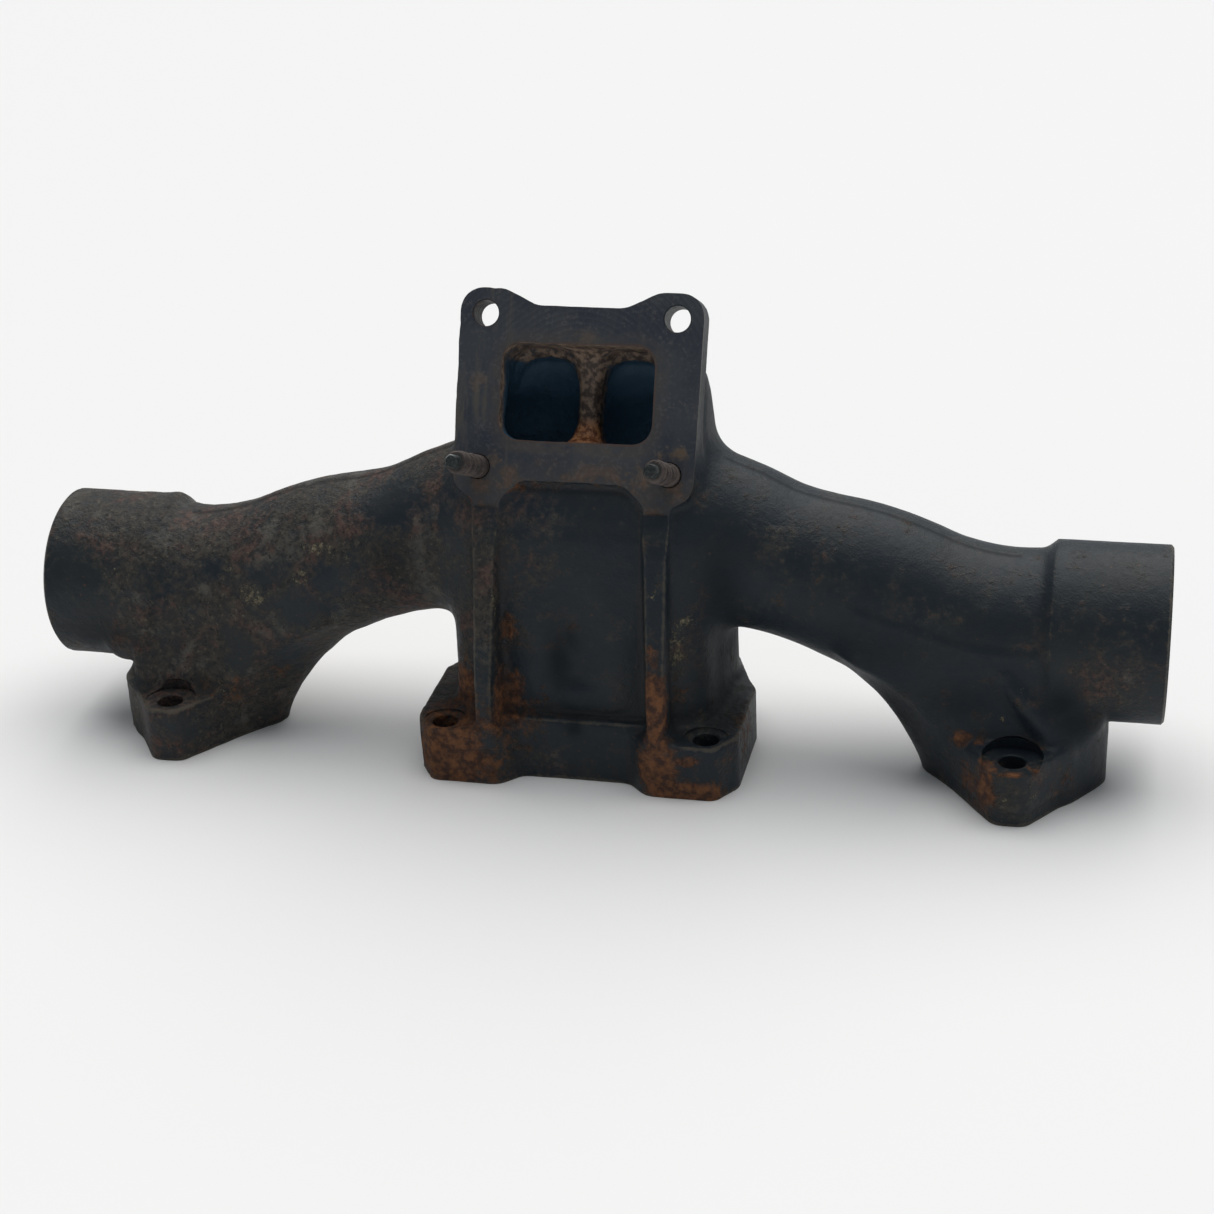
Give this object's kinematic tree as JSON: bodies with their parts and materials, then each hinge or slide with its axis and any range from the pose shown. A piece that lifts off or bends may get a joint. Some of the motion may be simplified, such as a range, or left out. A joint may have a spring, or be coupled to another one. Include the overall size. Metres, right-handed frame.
{
  "type": "exhaust manifold",
  "caption": "Used cast-iron exhaust manifold centre section for a large diesel engine, with slip collars and a twin-entry turbo flange.",
  "frame": {"origin": "centre of the head face of the centre foot, midway between the two centre exhaust ports", "axes": "+X along the engine through both slip collars, +Z away from the cylinder head; the turbo flange faces -Y and up"},
  "size_m": [0.7, 0.148, 0.2913],
  "materials": {
    "painted_cast_iron": "matt",
    "rusty_steel": "matt",
    "seal_ring_iron": "satin"
  },
  "bodies": {
    "root": {"manifold_casting": "painted_cast_iron", "turbo_stud_left": "rusty_steel", "turbo_stud_right": "rusty_steel", "seal_ring_left_inner": "seal_ring_iron", "seal_ring_left_outer": "seal_ring_iron", "seal_ring_right_inner": "seal_ring_iron", "seal_ring_right_outer": "seal_ring_iron"}
  },
  "joints": []
}
